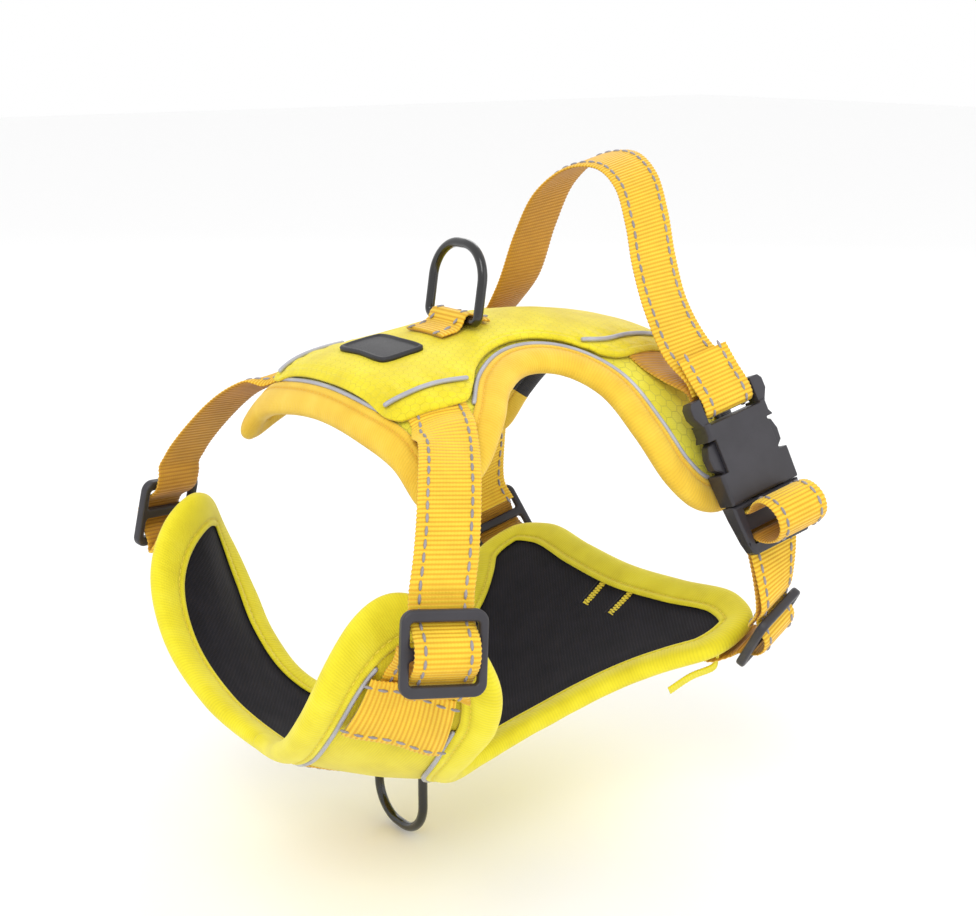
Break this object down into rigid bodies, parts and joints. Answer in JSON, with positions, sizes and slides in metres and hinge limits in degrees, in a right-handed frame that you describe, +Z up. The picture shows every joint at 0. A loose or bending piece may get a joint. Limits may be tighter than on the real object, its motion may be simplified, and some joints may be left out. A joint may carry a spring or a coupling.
{
  "type": "dog vest harness",
  "caption": "Worn-shape dog vest harness: padded saddle and chest plate joined by adjustable webbing straps with side-release buckles, a grab handle and leash rings.",
  "frame": {"origin": "withers point: the underside of the saddle on its centre line, where the harness rests on the dog", "axes": "+Z up, -Y the way the dog faces, +X the dog's left side"},
  "size_m": [0.2548, 0.2307, 0.2954],
  "materials": {
    "overlay_fabric": "bright yellow coated fabric with slight puckers",
    "saddle_fabric": "bright yellow fabric with a faint honeycomb print",
    "chest_fabric": "bright yellow woven fabric",
    "amber_binding": "amber woven tape, matte",
    "yellow_binding": "yellow woven tape, matte",
    "black_binding": "black woven tape, matte",
    "lining": "black twill, matte",
    "webbing": "amber ribbed nylon webbing with grey reflective stitching",
    "reflective_piping": "silver-grey reflective cord",
    "plastic": "dark charcoal acetal, satin",
    "ring_metal": "gloss black coat on a steel wire",
    "rubber": "charcoal moulded rubber, matte"
  },
  "bodies": {
    "harness": {"saddle_lining": "lining", "saddle_panel": "saddle_fabric", "saddle_binding": "amber_binding", "saddle_rear_binding": "black_binding", "chest_lining": "lining", "chest_panel": "chest_fabric", "chest_binding": "yellow_binding", "saddle_overlay": "overlay_fabric", "overlay_front_piping_left": "reflective_piping", "overlay_front_piping_right": "reflective_piping", "overlay_rear_piping_left": "reflective_piping", "overlay_rear_piping_right": "reflective_piping", "patch": "rubber", "top_ring_tab": "webbing", "chest_ring_tab": "webbing", "handle": "webbing", "neck_slider_left": "plastic", "neck_slider_right": "plastic", "neck_strap_left": "webbing", "neck_strap_right": "webbing", "chest_band_left": "webbing", "chest_band_right": "webbing", "buckle_socket_left": "plastic", "buckle_socket_right": "plastic", "buckle_plug_left": "plastic", "buckle_plug_right": "plastic", "girth_tape_left": "webbing", "girth_tape_right": "webbing", "girth_slider_left": "plastic", "girth_slider_right": "plastic", "girth_strap_left": "webbing", "girth_strap_right": "webbing", "tape_tail": "chest_fabric", "chest_neck_piping": "reflective_piping", "chest_side_piping_left": "reflective_piping", "chest_side_piping_right": "reflective_piping", "saddle_neck_piping": "reflective_piping", "saddle_side_piping_left": "reflective_piping", "saddle_side_piping_right": "reflective_piping"},
    "top_leash_ring": {"top_ring": "ring_metal"},
    "chest_leash_ring": {"chest_ring": "ring_metal"}
  },
  "joints": [
    {"name": "top_ring_swing", "type": "hinge", "parent": "harness", "child": "top_leash_ring", "pos_m": [0, -0.02137, 0.00766], "axis": [1, 0, 0], "range_deg": [-70, 95]},
    {"name": "chest_ring_swing", "type": "hinge", "parent": "harness", "child": "chest_leash_ring", "pos_m": [0, -0.05158, -0.18759], "axis": [1, 0, 0], "range_deg": [-90, 95]}
  ]
}
